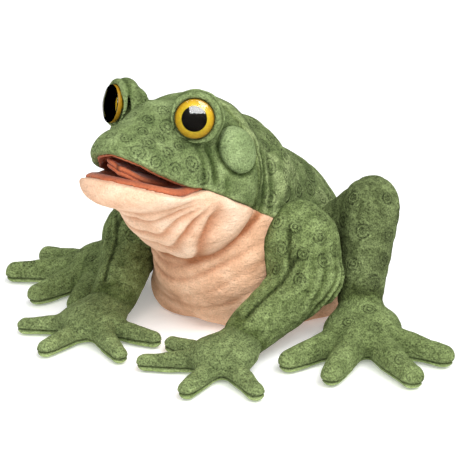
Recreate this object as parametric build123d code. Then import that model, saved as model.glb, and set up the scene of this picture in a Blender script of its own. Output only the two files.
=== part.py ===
from build123d import *
import os
from math import asin, cos, radians, sin, tan

# Plush toad hand puppet. Millimetres, +Z up, the toad faces -Y, its left
# side is +X. The origin is the middle of the flat belly where it rests.

# ---- driving dimensions -------------------------------------------------
PLUSH = 2.5            # pile fabric of head and body
LIMB_PLUSH = 2.0       # pile fabric of arms and legs
FELT = 1.8             # mouth lining
BOARD = 2.0            # stiffener in the mouth
LINING = 1.4           # glove lining
LAYER_GAP = 0.3        # air between two layers of one body
JOINT_GAP = 0.7        # air between two bodies that turn

NECK = (0, -38, 128)       # middle of the neck, for nod and turn
HINGE = (0, -82, 138)      # fold of the mouth
UPPER_PITCH = 31           # palate slopes, degrees above level
LOWER_PITCH = 18
CHEEK_SLOPE = -38 / 69     # lower edge of the green cheek
JAW_REAR = -86
HEAD_REAR = -50            # behind this plane the neck fabric flexes
TORSO_FRONT = -18
SEAM = ((-13, 100), (65, 48))   # side seam between back and belly, Y and Z

# body outline as balls joined by cones: (x, y, z), radius
SNOUT = ((0, -112, 152), 30)
SKULL = ((0, -44, 138), 57)
SNOUT_SIDE = ((13, -104, 149), 28)
SKULL_SIDE = ((13, -46, 137), 48)
CHEST = ((0, 8, 56), 58)
WITHERS = ((0, -8, 116), 60)
RUMP = ((0, 72, 60), 62)
SPINE_START = ((0, -4, 113), 54)
BELLY_FRONT = ((0, 12, 47), 50)
BELLY_REAR = ((0, 66, 48), 52)
TORSO_REAR = 122
SLEEVE_REAR = (0, 140, 36)     # axis of the oval hand sleeve
SLEEVE_FRONT = (0, -30, 106)
SLEEVE_W, SLEEVE_H = 36, 23    # half width and half height

EYE = (31, -77, 190)           # middle of the left eyelid ball
EYE_AXIS = (0.566, -0.799, 0.202)
LID_R = 18.3
IRIS_R = 14.2
PUPIL_R = 9.2

GLAND_TOP = (43, -58, 172)
GLAND_LOW = (46, -50, 162)
GLAND_R = 16

# left limbs: joint centres and radii. The right side is mirrored.
SHOULDER = (68, 6, 76)
ELBOW = (84, -2, 54)
WRIST = (64, -60, 21)
PALM = (62, -88, 15)
HIP = (60, 72, 48)
KNEE = (101, 60, 98)
ANKLE = (113, 26, 36)
INSTEP = (123, 8, 17)
SHOULDER_R, ELBOW_R, WRIST_R = 28, 23, 17
HIP_R, KNEE_R, ANKLE_R = 32, 21, 17
PALM_DROP, PALM_R = 12, 27     # dome: centre this far below PALM
FOOT_DROP, FOOT_R = 14, 31
FINGER_TIPS = [(108, -115), (66, -141), (12, -119), (9, -80)]
TOE_TIPS = [(193, 13), (190, -33), (141, -63), (101, -60)]
TIP_R = 7
FINGER_R = 11
TOE_R = 13
ARM_INNER_X = 46       # flat inner side of upper arm and thigh
SOLE_TOP = 8           # height of the seam round hands and feet
END_CUT = 9            # a limb tube stops this far before the next joint

BIG = 400


# ---- helpers ------------------------------------------------------------
def fused(shapes):
    whole = shapes[0]
    for shape in shapes[1:]:
        whole = whole + shape
    return whole


def without(shape, tools):
    for tool in tools:
        shape = shape - tool
    return shape


def prism(points, half_x=BIG):
    """Polygon in Y and Z, drawn out to both sides along X."""
    flat = make_face(Polyline(*points, close=True))
    return extrude(Plane.YZ * flat, amount=half_x, both=True)


def block(low, high):
    size = [b - a for a, b in zip(low, high)]
    mid = [(a + b) / 2 for a, b in zip(low, high)]
    return Pos(*mid) * Box(*size)


def ball(centre, radius):
    return Pos(*centre) * Sphere(radius)


def round_cone(a, ra, b, rb):
    """Two balls and the cone that touches both, as one turned solid."""
    along = Vector(*b) - Vector(*a)
    length = along.length
    lean = asin((ra - rb) / length)
    touch_a = (ra * cos(lean), 0, ra * sin(lean))
    touch_b = (rb * cos(lean), 0, length + rb * sin(lean))
    low = (radians(-90) + lean) / 2
    high = (radians(90) + lean) / 2
    edges = [
        ThreePointArc((0, 0, -ra), (ra * cos(low), 0, ra * sin(low)),
                      touch_a),
        Line(touch_a, touch_b),
        ThreePointArc(touch_b,
                      (rb * cos(high), 0, length + rb * sin(high)),
                      (0, 0, length + rb)),
        Line((0, 0, length + rb), (0, 0, -ra)),
    ]
    solid = revolve(make_face(edges), axis=Axis.Z)
    return Plane(origin=a, z_dir=along) * solid


def turned(shape, pivot, degrees):
    """Shape turned about the X axis through pivot."""
    x, y, z = pivot
    return Pos(x, y, z) * Rot(degrees, 0, 0) * Pos(-x, -y, -z) * shape


def swept(a, ra, b, rb, angles):
    """Room for a segment over its travel: its ball, then its cones.

    The cones start from slightly smaller balls, inside the first one.
    Lifting is a minus turn about X.
    """
    room = [ball(a, ra + JOINT_GAP)]
    for k, angle in enumerate(angles):
        less = 0.3 + 0.15 * k
        cone = round_cone(a, ra + JOINT_GAP - less, b, rb + JOINT_GAP)
        room.append(turned(cone, a, -angle))
    return room


def joined(a, b, grow=0.0):
    """Round cone between two balls given as (centre, radius)."""
    return round_cone(a[0], a[1] + grow, b[0], b[1] + grow)


def head_form(grow=0.0):
    side = joined(SNOUT_SIDE, SKULL_SIDE, grow)
    return joined(SNOUT, SKULL, grow) + side + mirrored(side)


def torso_form(grow=0.0):
    upright = joined(CHEST, WITHERS, grow)
    spine = joined(SPINE_START, RUMP, grow)
    belly = joined(BELLY_FRONT, BELLY_REAR, grow)
    return upright + spine + belly


def sleeve_form(grow=0.0):
    start = Vector(*SLEEVE_REAR)
    way = Vector(*SLEEVE_FRONT) - start
    plane = Plane(origin=start, x_dir=(1, 0, 0), z_dir=way)
    face = plane * Ellipse(SLEEVE_W + grow, SLEEVE_H + grow)
    return extrude(face, amount=way.length)


def beyond(point, direction):
    """Half space past a plane, as a large block."""
    plane = Plane(origin=point, z_dir=direction)
    return plane * Pos(0, 0, BIG / 2) * Box(BIG, BIG, BIG)


def short_of(a, b, back):
    """Point on the way from a to b, back millimetres before b."""
    way = Vector(*b) - Vector(*a)
    return Vector(*b) - way.normalized() * back


def upper_z(y, lift=0.0):
    rise = (HINGE[1] - y) * tan(radians(UPPER_PITCH))
    return HINGE[2] + rise + lift / cos(radians(UPPER_PITCH))


def lower_z(y, drop=0.0):
    rise = (HINGE[1] - y) * tan(radians(LOWER_PITCH))
    return HINGE[2] + rise - drop / cos(radians(LOWER_PITCH))


def cheek_z(y):
    return HINGE[2] + (y - HINGE[1]) * CHEEK_SLOPE


def seam_z(y):
    (y0, z0), (y1, z1) = SEAM
    return z0 + (y - y0) * (z1 - z0) / (y1 - y0)


def biggest(shape):
    """The main solid, without slivers that a cut has freed."""
    return max(shape.solids(), key=lambda solid: solid.volume)


def mirrored(shape):
    return mirror(shape, about=Plane.YZ)


parts = {}


def both_sides(name, shape):
    parts[name + "_left"] = shape
    parts[name + "_right"] = mirrored(shape)


# ---- limbs --------------------------------------------------------------
def segment(a, ra, b, rb, grow=0.0):
    return round_cone(a, ra + grow, b, rb + grow)


def digits(centre, root_r, tips, grow=0.0):
    shapes = []
    base = (centre[0], centre[1], TIP_R + 5)
    for x, y in tips:
        tip = (x, y, TIP_R)
        shapes.append(round_cone(base, root_r + grow, tip, TIP_R + grow))
    return shapes


def hand_shapes(grow=0.0):
    wrist = round_cone(WRIST, WRIST_R + grow,
                       (PALM[0], PALM[1] + 5, PALM[2]), 13 + grow)
    palm = ball((PALM[0], PALM[1], PALM[2] - PALM_DROP), PALM_R + grow)
    return [palm, wrist] + digits(PALM, FINGER_R, FINGER_TIPS, grow)


def foot_shapes(grow=0.0):
    ankle = round_cone(ANKLE, ANKLE_R + grow,
                       (INSTEP[0], INSTEP[1], INSTEP[2] + 1), 15 + grow)
    sole = ball((INSTEP[0], INSTEP[1], INSTEP[2] - FOOT_DROP),
                FOOT_R + grow)
    return [sole, ankle] + digits(INSTEP, TOE_R, TOE_TIPS, grow)


inner_side = block((-BIG, -BIG, -BIG), (ARM_INNER_X, BIG, BIG))
socket_side = block((ARM_INNER_X - JOINT_GAP, -BIG, -BIG),
                    (BIG, BIG, BIG))
below_floor = block((-BIG, -BIG, -BIG), (BIG, BIG, 0))

# turns that each socket leaves room for, a little past the limits
ELBOW_ANGLES = (-10, 5, 20, 30)
WRIST_ANGLES = (-15, 0, 20)
KNEE_ANGLES = (-12, -4, 4)
ANKLE_ANGLES = (-12, 0, 15)
SHOULDER_ANGLES = (-10, 2, 14, 25)
HIP_ANGLES = (-8, 1, 10)

forearm_sweep = swept(ELBOW, ELBOW_R, WRIST, WRIST_R, ELBOW_ANGLES)
shin_sweep = swept(KNEE, KNEE_R, ANKLE, ANKLE_R, KNEE_ANGLES)
palm_end = (PALM[0], PALM[1] + 5, PALM[2])
foot_end = (INSTEP[0], INSTEP[1], INSTEP[2] + 1)
hand_sweep = swept(WRIST, WRIST_R, palm_end, 13, WRIST_ANGLES)
foot_sweep = swept(ANKLE, ANKLE_R, foot_end, 15, ANKLE_ANGLES)


def limb(name, a, ra, b, rb, next_sweep, flat_inside=False):
    """Plush tube and its filling, cut back for the next segment."""
    outer = segment(a, ra, b, rb)
    core = segment(a, ra - LIMB_PLUSH, b, rb - LIMB_PLUSH)
    filling = segment(a, ra - LIMB_PLUSH - LAYER_GAP,
                      b, rb - LIMB_PLUSH - LAYER_GAP)
    away = Vector(*b) - Vector(*a)
    end = beyond(short_of(a, b, END_CUT), away)
    mouth = Plane(origin=a, z_dir=away * -1) * Pos(0, 0, ra)
    mouth = mouth * Cylinder(ra / 3, ra)
    cuts = [end] + next_sweep
    if flat_inside:
        cuts = cuts + [inner_side]
    both_sides(name + "_panel", without(outer, [core, mouth] + cuts))
    if not flat_inside:
        end = beyond(short_of(a, b, END_CUT + 5), away)
        cuts = [end, ball(b, rb + JOINT_GAP)]
    both_sides(name + "_stuffing", without(filling, cuts))


limb("upper_arm", SHOULDER, SHOULDER_R, ELBOW, ELBOW_R,
     forearm_sweep, True)
limb("forearm", ELBOW, ELBOW_R, WRIST, WRIST_R, hand_sweep)
limb("thigh", HIP, HIP_R, KNEE, KNEE_R, shin_sweep, True)
limb("shin", KNEE, KNEE_R, ANKLE, ANKLE_R, foot_sweep)


def split_at_seam(name, shapes):
    whole = without(fused(shapes), [below_floor])
    low = block((-BIG, -BIG, -1), (BIG, BIG, SOLE_TOP))
    high = block((-BIG, -BIG, SOLE_TOP + LAYER_GAP), (BIG, BIG, BIG))
    both_sides(name + "_sole", whole & low)
    both_sides(name + "_top", whole & high)


split_at_seam("hand", hand_shapes())
split_at_seam("foot", foot_shapes())

# ---- torso --------------------------------------------------------------
above_chest = prism([
    (TORSO_FRONT, 220), (TORSO_FRONT, 96), (-75, 70),
    (-120, 70), (-120, 220),
])
trim = [block((-BIG, TORSO_REAR, -BIG), (BIG, BIG, BIG)),
        block((-BIG, -BIG, -BIG), (BIG, TORSO_FRONT + 1, BIG))]
sleeve_out = without(sleeve_form(LINING), trim)
sleeve_in = sleeve_form()
sleeve_room = sleeve_form(LINING + LAYER_GAP)
left_sockets = (swept(SHOULDER, SHOULDER_R, ELBOW, ELBOW_R,
                      SHOULDER_ANGLES)
                + swept(HIP, HIP_R, KNEE, KNEE_R, HIP_ANGLES))
left_sockets = [s & socket_side for s in left_sockets]
sockets = left_sockets + [mirrored(s) for s in left_sockets]

torso_cuts = [above_chest, below_floor,
              block((-BIG, TORSO_REAR, -BIG), (BIG, BIG, BIG))]
torso_outer = without(torso_form(), torso_cuts)
torso_core = without(torso_form(-PLUSH), [
    block((-BIG, -BIG, -BIG), (BIG, BIG, PLUSH))])
torso_skin = without(torso_outer, [torso_core, sleeve_room] + sockets)
over_seam = prism([
    (-200, seam_z(-200)), (200, seam_z(200)), (200, 400), (-200, 400)])
under_seam = prism([
    (-200, seam_z(-200) - LAYER_GAP), (200, seam_z(200) - LAYER_GAP),
    (200, -400), (-200, -400)])
parts["back_panel"] = biggest(torso_skin & over_seam)
parts["belly_panel"] = biggest(torso_skin & under_seam)

stuffing = without(torso_form(-PLUSH - LAYER_GAP), torso_cuts + [
    block((-BIG, -BIG, -BIG), (BIG, BIG, PLUSH + LAYER_GAP)),
    sleeve_room] + sockets)
parts["body_stuffing"] = biggest(stuffing)

parts["glove_lining"] = sleeve_out - sleeve_in
hem_span = block((-BIG, TORSO_REAR + 0.4, -BIG),
                 (BIG, TORSO_REAR + 4.4, BIG))
hem_out = sleeve_form(6) & hem_span
hem_in = sleeve_form(0.5)
parts["opening_hem"] = hem_out - hem_in

# ---- head, throat and neck ---------------------------------------------
head_outer = head_form()
head_core = head_form(-PLUSH)
head_fill = head_form(-PLUSH - LAYER_GAP)
FRONT = -160


def over_palate(lift):
    """Room above the upper palate and above the cheek's lower edge."""
    return prism([
        (FRONT, upper_z(FRONT, lift)), (HINGE[1], HINGE[2] + lift),
        (HEAD_REAR, cheek_z(HEAD_REAR) + lift), (HEAD_REAR, 260),
        (FRONT, 260),
    ])


def under_palate(drop):
    """Room below the lower palate, in front of the jaw's rear plane."""
    return prism([
        (FRONT, lower_z(FRONT, drop)), (JAW_REAR, lower_z(JAW_REAR, drop)),
        (JAW_REAR, 40), (FRONT, 40),
    ])


def slab(z_of, low, high, rear):
    """Layer beside a palate plane, from the mouth fold forward."""
    return prism([
        (FRONT, z_of(FRONT, low)), (rear, z_of(rear, low)),
        (rear, z_of(rear, high)), (FRONT, z_of(FRONT, high)),
    ])


def plan(rear_y, rear_w, front_y, front_w):
    """Tapered outline seen from above, drawn out along Z."""
    flat = make_face(Polyline(
        (rear_w, rear_y), (front_w, front_y),
        (-front_w, front_y), (-rear_w, rear_y), close=True))
    return extrude(flat, amount=BIG, both=True)


axis = Vector(*EYE_AXIS).normalized()


def on_eye(offset):
    return Plane(origin=Vector(*EYE) + axis * offset, z_dir=axis)


def eye_disc(radius, low, high):
    mid = (low + high) / 2
    return on_eye(mid) * Cylinder(radius, high - low)


eye_seat = [
    eye_disc(IRIS_R + 0.5, 9.5, 40), eye_disc(3.1, -3, 12),
    eye_disc(8.6, -6, -2.4),
]
eye_seats = eye_seat + [mirrored(s) for s in eye_seat]

board_low = FELT + LAYER_GAP
board_high = board_low + BOARD
stack = board_high + LAYER_GAP

head_region = head_outer & over_palate(LAYER_GAP)
parts["head_panel"] = without(head_region, [head_core] + eye_seats)

PALATE_REAR = HINGE[1] - 3
inside = head_fill
parts["upper_palate"] = inside & slab(upper_z, 0.2, FELT, PALATE_REAR)
parts["upper_mouth_board"] = inside & slab(
    upper_z, board_low, board_high, PALATE_REAR)


def pocket(front_y, front_w, z_floor, z_roof, rear_y, inset):
    """Fabric pocket: floor and roof heights as functions of y."""
    low = inset
    body = prism([
        (front_y + low, z_floor(front_y + low) + low),
        (HINGE[1], z_floor(HINGE[1] - 0.01) + low),
        (rear_y, z_floor(rear_y) + low),
        (rear_y, z_roof(rear_y) - low),
        (front_y + low, z_roof(front_y + low) - low),
    ])
    outline = plan(rear_y, 38 - low, front_y, front_w - low)
    return body & outline


def finger_floor(y):
    if y < HINGE[1]:
        return upper_z(y, stack)
    return upper_z(HINGE[1], stack) + (y - HINGE[1]) * CHEEK_SLOPE * 0.4


def finger_roof(y):
    return min(174, finger_floor(y) + 24) if y < HINGE[1] else 170


def thumb_roof(y):
    return lower_z(y, stack)


def thumb_floor(y):
    return lower_z(y, stack) - 20


finger_out = pocket(-114, 27, finger_floor, finger_roof, HEAD_REAR, 0)
finger_in = pocket(-114, 27, finger_floor, finger_roof,
                   HEAD_REAR + 1, LINING)
finger_room = pocket(-114 - 0.3, 27.3, lambda y: finger_floor(y) - 0.3,
                     lambda y: finger_roof(y) + 0.3, HEAD_REAR + 1, 0)
pocket_limit = head_form(-PLUSH - 3 * LAYER_GAP)
parts["finger_pocket"] = (finger_out & pocket_limit) - finger_in
palate_room = slab(upper_z, -5, stack - 0.1, HINGE[1] + 2)
head_stuff = (head_fill & over_palate(stack)) - finger_room
head_stuff = without(head_stuff, eye_seats + [palate_room])
hand_room = block((-39, HEAD_REAR - 32, 60), (39, HEAD_REAR + 10, 171))
parts["head_stuffing"] = head_stuff - hand_room

iris = eye_disc(IRIS_R, 11.4, 13.4) + eye_disc(2.6, -2.4, 12)
both_sides("eye_iris", iris)
both_sides("eye_pupil", eye_disc(PUPIL_R, 13.6, 14.2))
DOME_RISE = 4.2
dome_r = (IRIS_R ** 2 + DOME_RISE ** 2) / (2 * DOME_RISE)
dome_ball = on_eye(14.4 + DOME_RISE - dome_r) * Sphere(dome_r)
both_sides("eye_dome", dome_ball & eye_disc(IRIS_R, 14.4, 30))
both_sides("eye_washer", eye_disc(8, -4.6, -2.7) - eye_disc(2.9, -9, 9))

head_clear = head_form(LAYER_GAP)
lid = ball(EYE, LID_R) - ball(EYE, LID_R - 3)
lid = without(lid, [on_eye(10 + BIG / 2) * Box(BIG, BIG, BIG),
                    eye_disc(IRIS_R + 0.4, 0, 40), head_clear])
both_sides("eyelid", lid)
gland = round_cone(GLAND_TOP, GLAND_R, GLAND_LOW, GLAND_R)
lid_clear = ball(EYE, LID_R + LAYER_GAP)
both_sides("gland", without(gland, [head_clear, lid_clear]))

cheek_cut = prism([
    (-140, cheek_z(-140)), (40, cheek_z(40)), (40, 300), (-140, 300)])
skin_ring = head_outer - head_core
neck_span = block((-BIG, HEAD_REAR + 0.5, -BIG),
                  (BIG, TORSO_FRONT - 0.5, BIG))
parts["neck_panel"] = (skin_ring & neck_span) & cheek_cut
throat_span = block((-BIG, JAW_REAR + 0.5, -BIG),
                    (BIG, TORSO_FRONT - 0.5, BIG))
chest_clear = prism([
    (TORSO_FRONT + 1, 97.5), (-75, 71.5), (-120, 71.5),
    (-120, 0), (TORSO_FRONT + 1, 0)])
cheek_clear = prism([
    (-140, cheek_z(-140) - 0.5), (40, cheek_z(40) - 0.5),
    (40, 300), (-140, 300)])
parts["throat_panel"] = without(skin_ring & throat_span,
                                [cheek_clear, chest_clear])

pad_out = head_form(-PLUSH - 4)
pad_in = head_form(-PLUSH - 12)
pad_span = block((-BIG, NECK[1] - 1.5, cheek_z(NECK[1]) + 4),
                 (BIG, NECK[1] + 1.5, 181))
parts["neck_padding"] = (pad_out - pad_in) & pad_span

# ---- jaw and tongue -----------------------------------------------------
jaw_region = head_outer & under_palate(LAYER_GAP)
parts["chin_panel"] = jaw_region - head_core
parts["lower_palate"] = inside & slab(lower_z, 0.2, FELT, JAW_REAR)
parts["lower_mouth_board"] = inside & slab(
    lower_z, board_low, board_high, JAW_REAR)


def thumb(inset, extra=0.0):
    front = -120 - extra + inset
    rear = JAW_REAR + (1 if inset or extra else 0)
    body = prism([
        (front, thumb_roof(front) + extra - inset),
        (rear, thumb_roof(rear) + extra - inset),
        (rear, thumb_floor(rear) - extra + inset),
        (front, thumb_floor(front) - extra + inset),
    ])
    wide = extra - inset
    return body & plan(JAW_REAR + 1, 34 + wide, -121, 22 + wide)


parts["thumb_pocket"] = (thumb(0) & pocket_limit) - thumb(LINING)
jaw_stuff = head_fill & under_palate(stack)
parts["jaw_stuffing"] = jaw_stuff - thumb(0, LAYER_GAP)

TONGUE_ROOT = 20       # root and tip, measured from the mouth fold
TONGUE_TIP = 46
TONGUE_PITCH = LOWER_PITCH + 3
TONGUE_LAYER = 1.2
TONGUE_W = 17


def tongue_layer(low):
    length = TONGUE_TIP - TONGUE_ROOT
    flat = Pos(-length / 2, 0) * SlotOverall(length * 1.6, TONGUE_W * 2)
    flat = flat & Pos(-length / 2, 0) * Rectangle(length, TONGUE_W * 2)
    plate = Pos(0, 0, low) * extrude(flat, amount=TONGUE_LAYER)
    plate = Pos(-TONGUE_ROOT, 0, 0) * plate
    lean = Rot(-TONGUE_PITCH, 0, 0) * Rot(0, 0, 90)
    return Pos(*HINGE) * lean * plate


parts["tongue_underside"] = tongue_layer(0.2)
parts["tongue_top"] = tongue_layer(0.2 + TONGUE_LAYER + 0.1)

# ---- export -------------------------------------------------------------
os.makedirs("parts", exist_ok=True)
for name, shape in sorted(parts.items()):
    export_step(shape, f"parts/{name}.step")
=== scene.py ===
import math

import bmesh
import bpy
import numpy as np
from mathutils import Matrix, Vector


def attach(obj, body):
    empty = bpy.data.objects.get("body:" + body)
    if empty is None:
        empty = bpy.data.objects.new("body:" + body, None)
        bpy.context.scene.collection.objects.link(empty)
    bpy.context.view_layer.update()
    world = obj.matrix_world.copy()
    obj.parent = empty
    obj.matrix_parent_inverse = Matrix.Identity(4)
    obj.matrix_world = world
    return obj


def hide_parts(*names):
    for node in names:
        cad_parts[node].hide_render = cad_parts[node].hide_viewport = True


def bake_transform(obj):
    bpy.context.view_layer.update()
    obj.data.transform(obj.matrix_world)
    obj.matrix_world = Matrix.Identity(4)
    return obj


# Plush toad hand puppet. Shapes are worked out in millimetres as distance
# fields, turned into quad meshes, and stored in metres.
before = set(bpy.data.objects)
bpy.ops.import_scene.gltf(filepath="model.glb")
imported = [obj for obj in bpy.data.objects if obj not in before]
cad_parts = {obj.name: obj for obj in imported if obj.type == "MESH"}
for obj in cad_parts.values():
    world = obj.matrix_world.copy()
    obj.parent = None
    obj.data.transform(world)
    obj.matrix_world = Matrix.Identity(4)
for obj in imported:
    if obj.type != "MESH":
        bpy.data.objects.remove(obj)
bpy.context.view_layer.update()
MM = 0.001
SIDES = {"left": 1, "right": -1}
MIRROR = np.array([-1, 1, 1])
NO_SEAM = 9.0       # seam distance where there is no seam, mm
WART_REACH = 1.5    # wart rings end here, in wart radii


# ---- distance fields
def length(v):
    return np.sqrt((v * v).sum(1))


def unit(v):
    v = np.array(v, float)
    return v / np.linalg.norm(v)


def ball(p, centre, radius):
    return length(p - np.array(centre, float)) - radius


def oval(p, centre, radii, turn=None):
    q = p - np.array(centre, float)
    if turn is not None:
        q = q @ turn
    radii = np.array(radii, float)
    near = length(q / radii)
    steep = length(q / radii ** 2)
    return near * (near - 1) / np.maximum(steep, 1e-9)


def cone(p, a, ra, b, rb):
    """Two balls and the cone that touches both."""
    a = np.array(a, float)
    b = np.array(b, float)
    ba = b - a
    l2 = ba @ ba
    rr = ra - rb
    a2 = l2 - rr * rr
    pa = p - a
    y = pa @ ba
    z = y - l2
    away = pa * l2 - y[:, None] * ba
    x2 = (away * away).sum(1)
    y2 = y * y * l2
    z2 = z * z * l2
    k = np.sign(rr) * rr * rr * x2
    at_b = np.sqrt(x2 + z2) / l2 - rb
    at_a = np.sqrt(x2 + y2) / l2 - ra
    side = (np.sqrt(x2 * a2 / l2) + y * rr) / l2 - ra
    out = np.where(np.sign(y) * a2 * y2 < k, at_a, side)
    return np.where(np.sign(z) * a2 * z2 > k, at_b, out)


def join(a, b, soft):
    h = np.clip(0.5 + 0.5 * (b - a) / soft, 0, 1)
    return b * (1 - h) + a * h - soft * h * (1 - h)


def both(a, b, soft):
    return -join(-a, -b, soft)


def step01(x, low, high):
    t = np.clip((x - low) / (high - low), 0, 1)
    return t * t * (3 - 2 * t)


def crease(u, width):
    return np.exp(-(u / width) ** 2)


def half(p):
    q = p.copy()
    q[:, 0] = np.abs(q[:, 0])
    return q


def lumps(p, size, seed, waves=7):
    """Smooth noise from a few seeded plane waves, about -1 to 1."""
    rng = np.random.default_rng(seed)
    total = np.zeros(len(p))
    for _ in range(waves):
        way = unit(rng.normal(size=3))
        k = way * 2 * math.pi / (size * rng.uniform(0.7, 1.5))
        total += np.sin(p @ k + rng.uniform(0, 2 * math.pi))
    return total / math.sqrt(waves * 1.6)


# ---- meshing
CORNERS = [(i, j, k) for i in (0, 1) for j in (0, 1) for k in (0, 1)]
EDGES = [(a, b) for a in CORNERS for b in CORNERS
         if a < b and sum(abs(x - y) for x, y in zip(a, b)) == 1]


def slope(field, p, reach=0.5):
    out = np.zeros_like(p)
    for k in range(3):
        move = np.zeros(3)
        move[k] = reach
        out[:, k] = (field(p + move) - field(p - move)) / (2 * reach)
    return out


def settle(field, p, rounds=3):
    """Moves points onto the field's surface."""
    for _ in range(rounds):
        g = slope(field, p)
        size = np.maximum((g * g).sum(1), 0.05)
        p = p - (field(p) / size)[:, None] * g
    return p


def net(field, low, high, step):
    """Quad mesh of the field's zero surface."""
    low = np.array(low, float)
    size = np.ceil((np.array(high, float) - low) / step).astype(int) + 1
    axes = [low[k] + step * np.arange(size[k]) for k in range(3)]
    grid = np.stack(np.meshgrid(*axes, indexing="ij"), -1).reshape(-1, 3)
    value = field(grid).reshape(size)
    inside = value < 0
    total = np.zeros(size - 1, int)
    for i, j, k in CORNERS:
        total += inside[i:size[0] - 1 + i, j:size[1] - 1 + j,
                        k:size[2] - 1 + k]
    active = (total > 0) & (total < 8)
    number = np.full(size - 1, -1)
    number[active] = np.arange(active.sum())
    where = np.argwhere(active)
    point = np.zeros((len(where), 3))
    count = np.zeros(len(where))
    for a, b in EDGES:
        na = where + np.array(a)
        nb = where + np.array(b)
        va = value[tuple(na.T)]
        vb = value[tuple(nb.T)]
        cross = (va < 0) != (vb < 0)
        t = np.where(cross, va / np.where(va == vb, 1, va - vb), 0)
        point += np.where(cross[:, None], na + t[:, None] * (nb - na), 0)
        count += cross
    verts = low + step * point / count[:, None]
    faces = []
    unit = np.eye(3, dtype=int)
    for axis in range(3):
        u = unit[(axis + 1) % 3]
        v = unit[(axis + 2) % 3]
        first = np.take(inside, range(size[axis] - 1), axis)
        second = np.take(inside, range(1, size[axis]), axis)
        spots = np.argwhere(first != second)
        good = np.ones(len(spots), bool)
        for w in (u, v):
            at = spots @ w
            good &= (at >= 1) & (at <= (size - 1) @ w - 1)
        spots = spots[good]
        quad = np.stack([number[tuple((spots - s).T)]
                         for s in (0 * u, u, u + v, v)], 1)
        out = first[tuple(spots.T)]
        quad = np.where(out[:, None], quad, quad[:, ::-1])
        faces.append(quad)
    return verts, np.concatenate(faces)


def relax(verts, faces, rounds=2):
    """Evens out the spacing of the vertices."""
    a = faces.ravel()
    b = np.roll(faces, -1, axis=1).ravel()
    weight = np.bincount(a, minlength=len(verts))
    weight = weight + np.bincount(b, minlength=len(verts))
    for _ in range(rounds):
        total = np.zeros_like(verts)
        for k in range(3):
            total[:, k] = np.bincount(a, verts[b, k], len(verts))
            total[:, k] += np.bincount(b, verts[a, k], len(verts))
        mean = total / np.maximum(weight, 1)[:, None]
        verts = 0.4 * verts + 0.6 * mean
    return verts


def make(name, verts, faces, material, marks=None, smooth=True):
    """Object from millimetre points; marks are per-point values."""
    mesh = bpy.data.meshes.new(name)
    mesh.from_pydata((verts * MM).tolist(), [],
                     [list(map(int, f)) for f in faces])
    for key, values in (marks or {}).items():
        data = mesh.attributes.new(key, "FLOAT", "POINT").data
        data.foreach_set("value", np.asarray(values, np.float32))
    if smooth:
        mesh.shade_smooth()
    mesh.update()
    obj = bpy.data.objects.new(name, mesh)
    bpy.context.scene.collection.objects.link(obj)
    mesh.materials.append(material)
    return obj


def puff(obj, reach=1.3, frames=14):
    """Lets the skin fill out and gather like cloth round stuffing."""
    scene = bpy.context.scene
    mesh = obj.data
    rest = np.empty(len(mesh.vertices) * 3, np.float32)
    mesh.vertices.foreach_get("co", rest)
    mod = obj.modifiers.new("cloth", "CLOTH")
    settings = mod.settings
    settings.quality = 6
    settings.mass = 0.3
    settings.tension_stiffness = 12
    settings.compression_stiffness = 12
    settings.shear_stiffness = 5
    settings.bending_stiffness = 0.2
    settings.use_pressure = True
    settings.uniform_pressure_force = 4
    settings.shrink_min = -0.04
    settings.effector_weights.gravity = 0
    mod.point_cache.frame_start = 1
    mod.point_cache.frame_end = frames
    for frame_number in range(1, frames + 1):
        scene.frame_set(frame_number)
    shaped = obj.evaluated_get(bpy.context.evaluated_depsgraph_get()).data
    moved = np.empty_like(rest)
    shaped.vertices.foreach_get("co", moved)
    obj.modifiers.remove(mod)
    scene.frame_set(1)
    shift = (moved - rest).reshape(-1, 3)
    size = np.maximum(length(shift), 1e-9)
    limit = reach * MM
    shift *= (limit * np.tanh(size / limit) / size)[:, None]
    mesh.vertices.foreach_set("co", (rest + shift.ravel()).astype(np.float32))
    mesh.update()


def finer(obj):
    """One smooth subdivision, applied."""
    mod = obj.modifiers.new("finer", "SUBSURF")
    mod.levels = 1
    bpy.context.view_layer.objects.active = obj
    with bpy.context.temp_override(object=obj, active_object=obj):
        bpy.ops.object.modifier_apply(modifier=mod.name)
    obj.data.shade_smooth()
    return obj


def scatter(field, low, high, zone, gap, sizes, seed, tries=1600):
    """Warts spaced at least gap apart over the zone of a form."""
    rng = np.random.default_rng(seed)
    spots = settle(field, rng.uniform(low, high, (tries, 3)), rounds=6)
    spots = spots[(np.abs(field(spots)) < 0.5) & zone(*spots.T)]
    out = []
    for spot in spots:
        others = np.array([w[:3] for w in out]).reshape(-1, 3)
        if len(others) and length(others - spot).min() < gap:
            continue
        out.append((*spot, rng.uniform(*sizes)))
    return out


def wart_mark(points, warts, field):
    """Distance to the nearest wart's middle, in wart radii."""
    out = np.full(len(points), WART_REACH)
    for x, y, z, radius in warts:
        for side in (1, -1):
            spot = settle(field, np.array([[side * x, y, z]], float))[0]
            out = np.minimum(out, length(points - spot) / radius)
    return out


def cavity(verts, faces, field):
    """How far each point lies below its surroundings, -1 to 1."""
    smooth = relax(verts, faces, rounds=8)
    normal = slope(field, verts)
    normal /= np.maximum(length(normal), 1e-6)[:, None]
    sunk = ((smooth - verts) * normal).sum(1)
    return np.clip((sunk + 0.15) / 1.1, -1, 1)


def body_piece(name, field, low, high, step, material, warts=(),
               folds=None, seam=None, mirror=False, soft=False):
    verts, faces = net(field, low, high, step)
    verts = relax(verts, faces)
    verts = settle(field, verts)
    marks = {
        "wart": wart_mark(verts, warts, field),
        "cavity": cavity(verts, faces, field),
        "fold": folds(verts) if folds else np.zeros(len(verts)),
        "seam": seam(verts) if seam else np.full(len(verts), NO_SEAM),
    }
    if mirror:
        verts = verts * MIRROR
        faces = faces[:, ::-1]
    obj = make(name, verts, faces, material, marks)
    if soft:
        puff(obj)
    return finer(obj)


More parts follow.
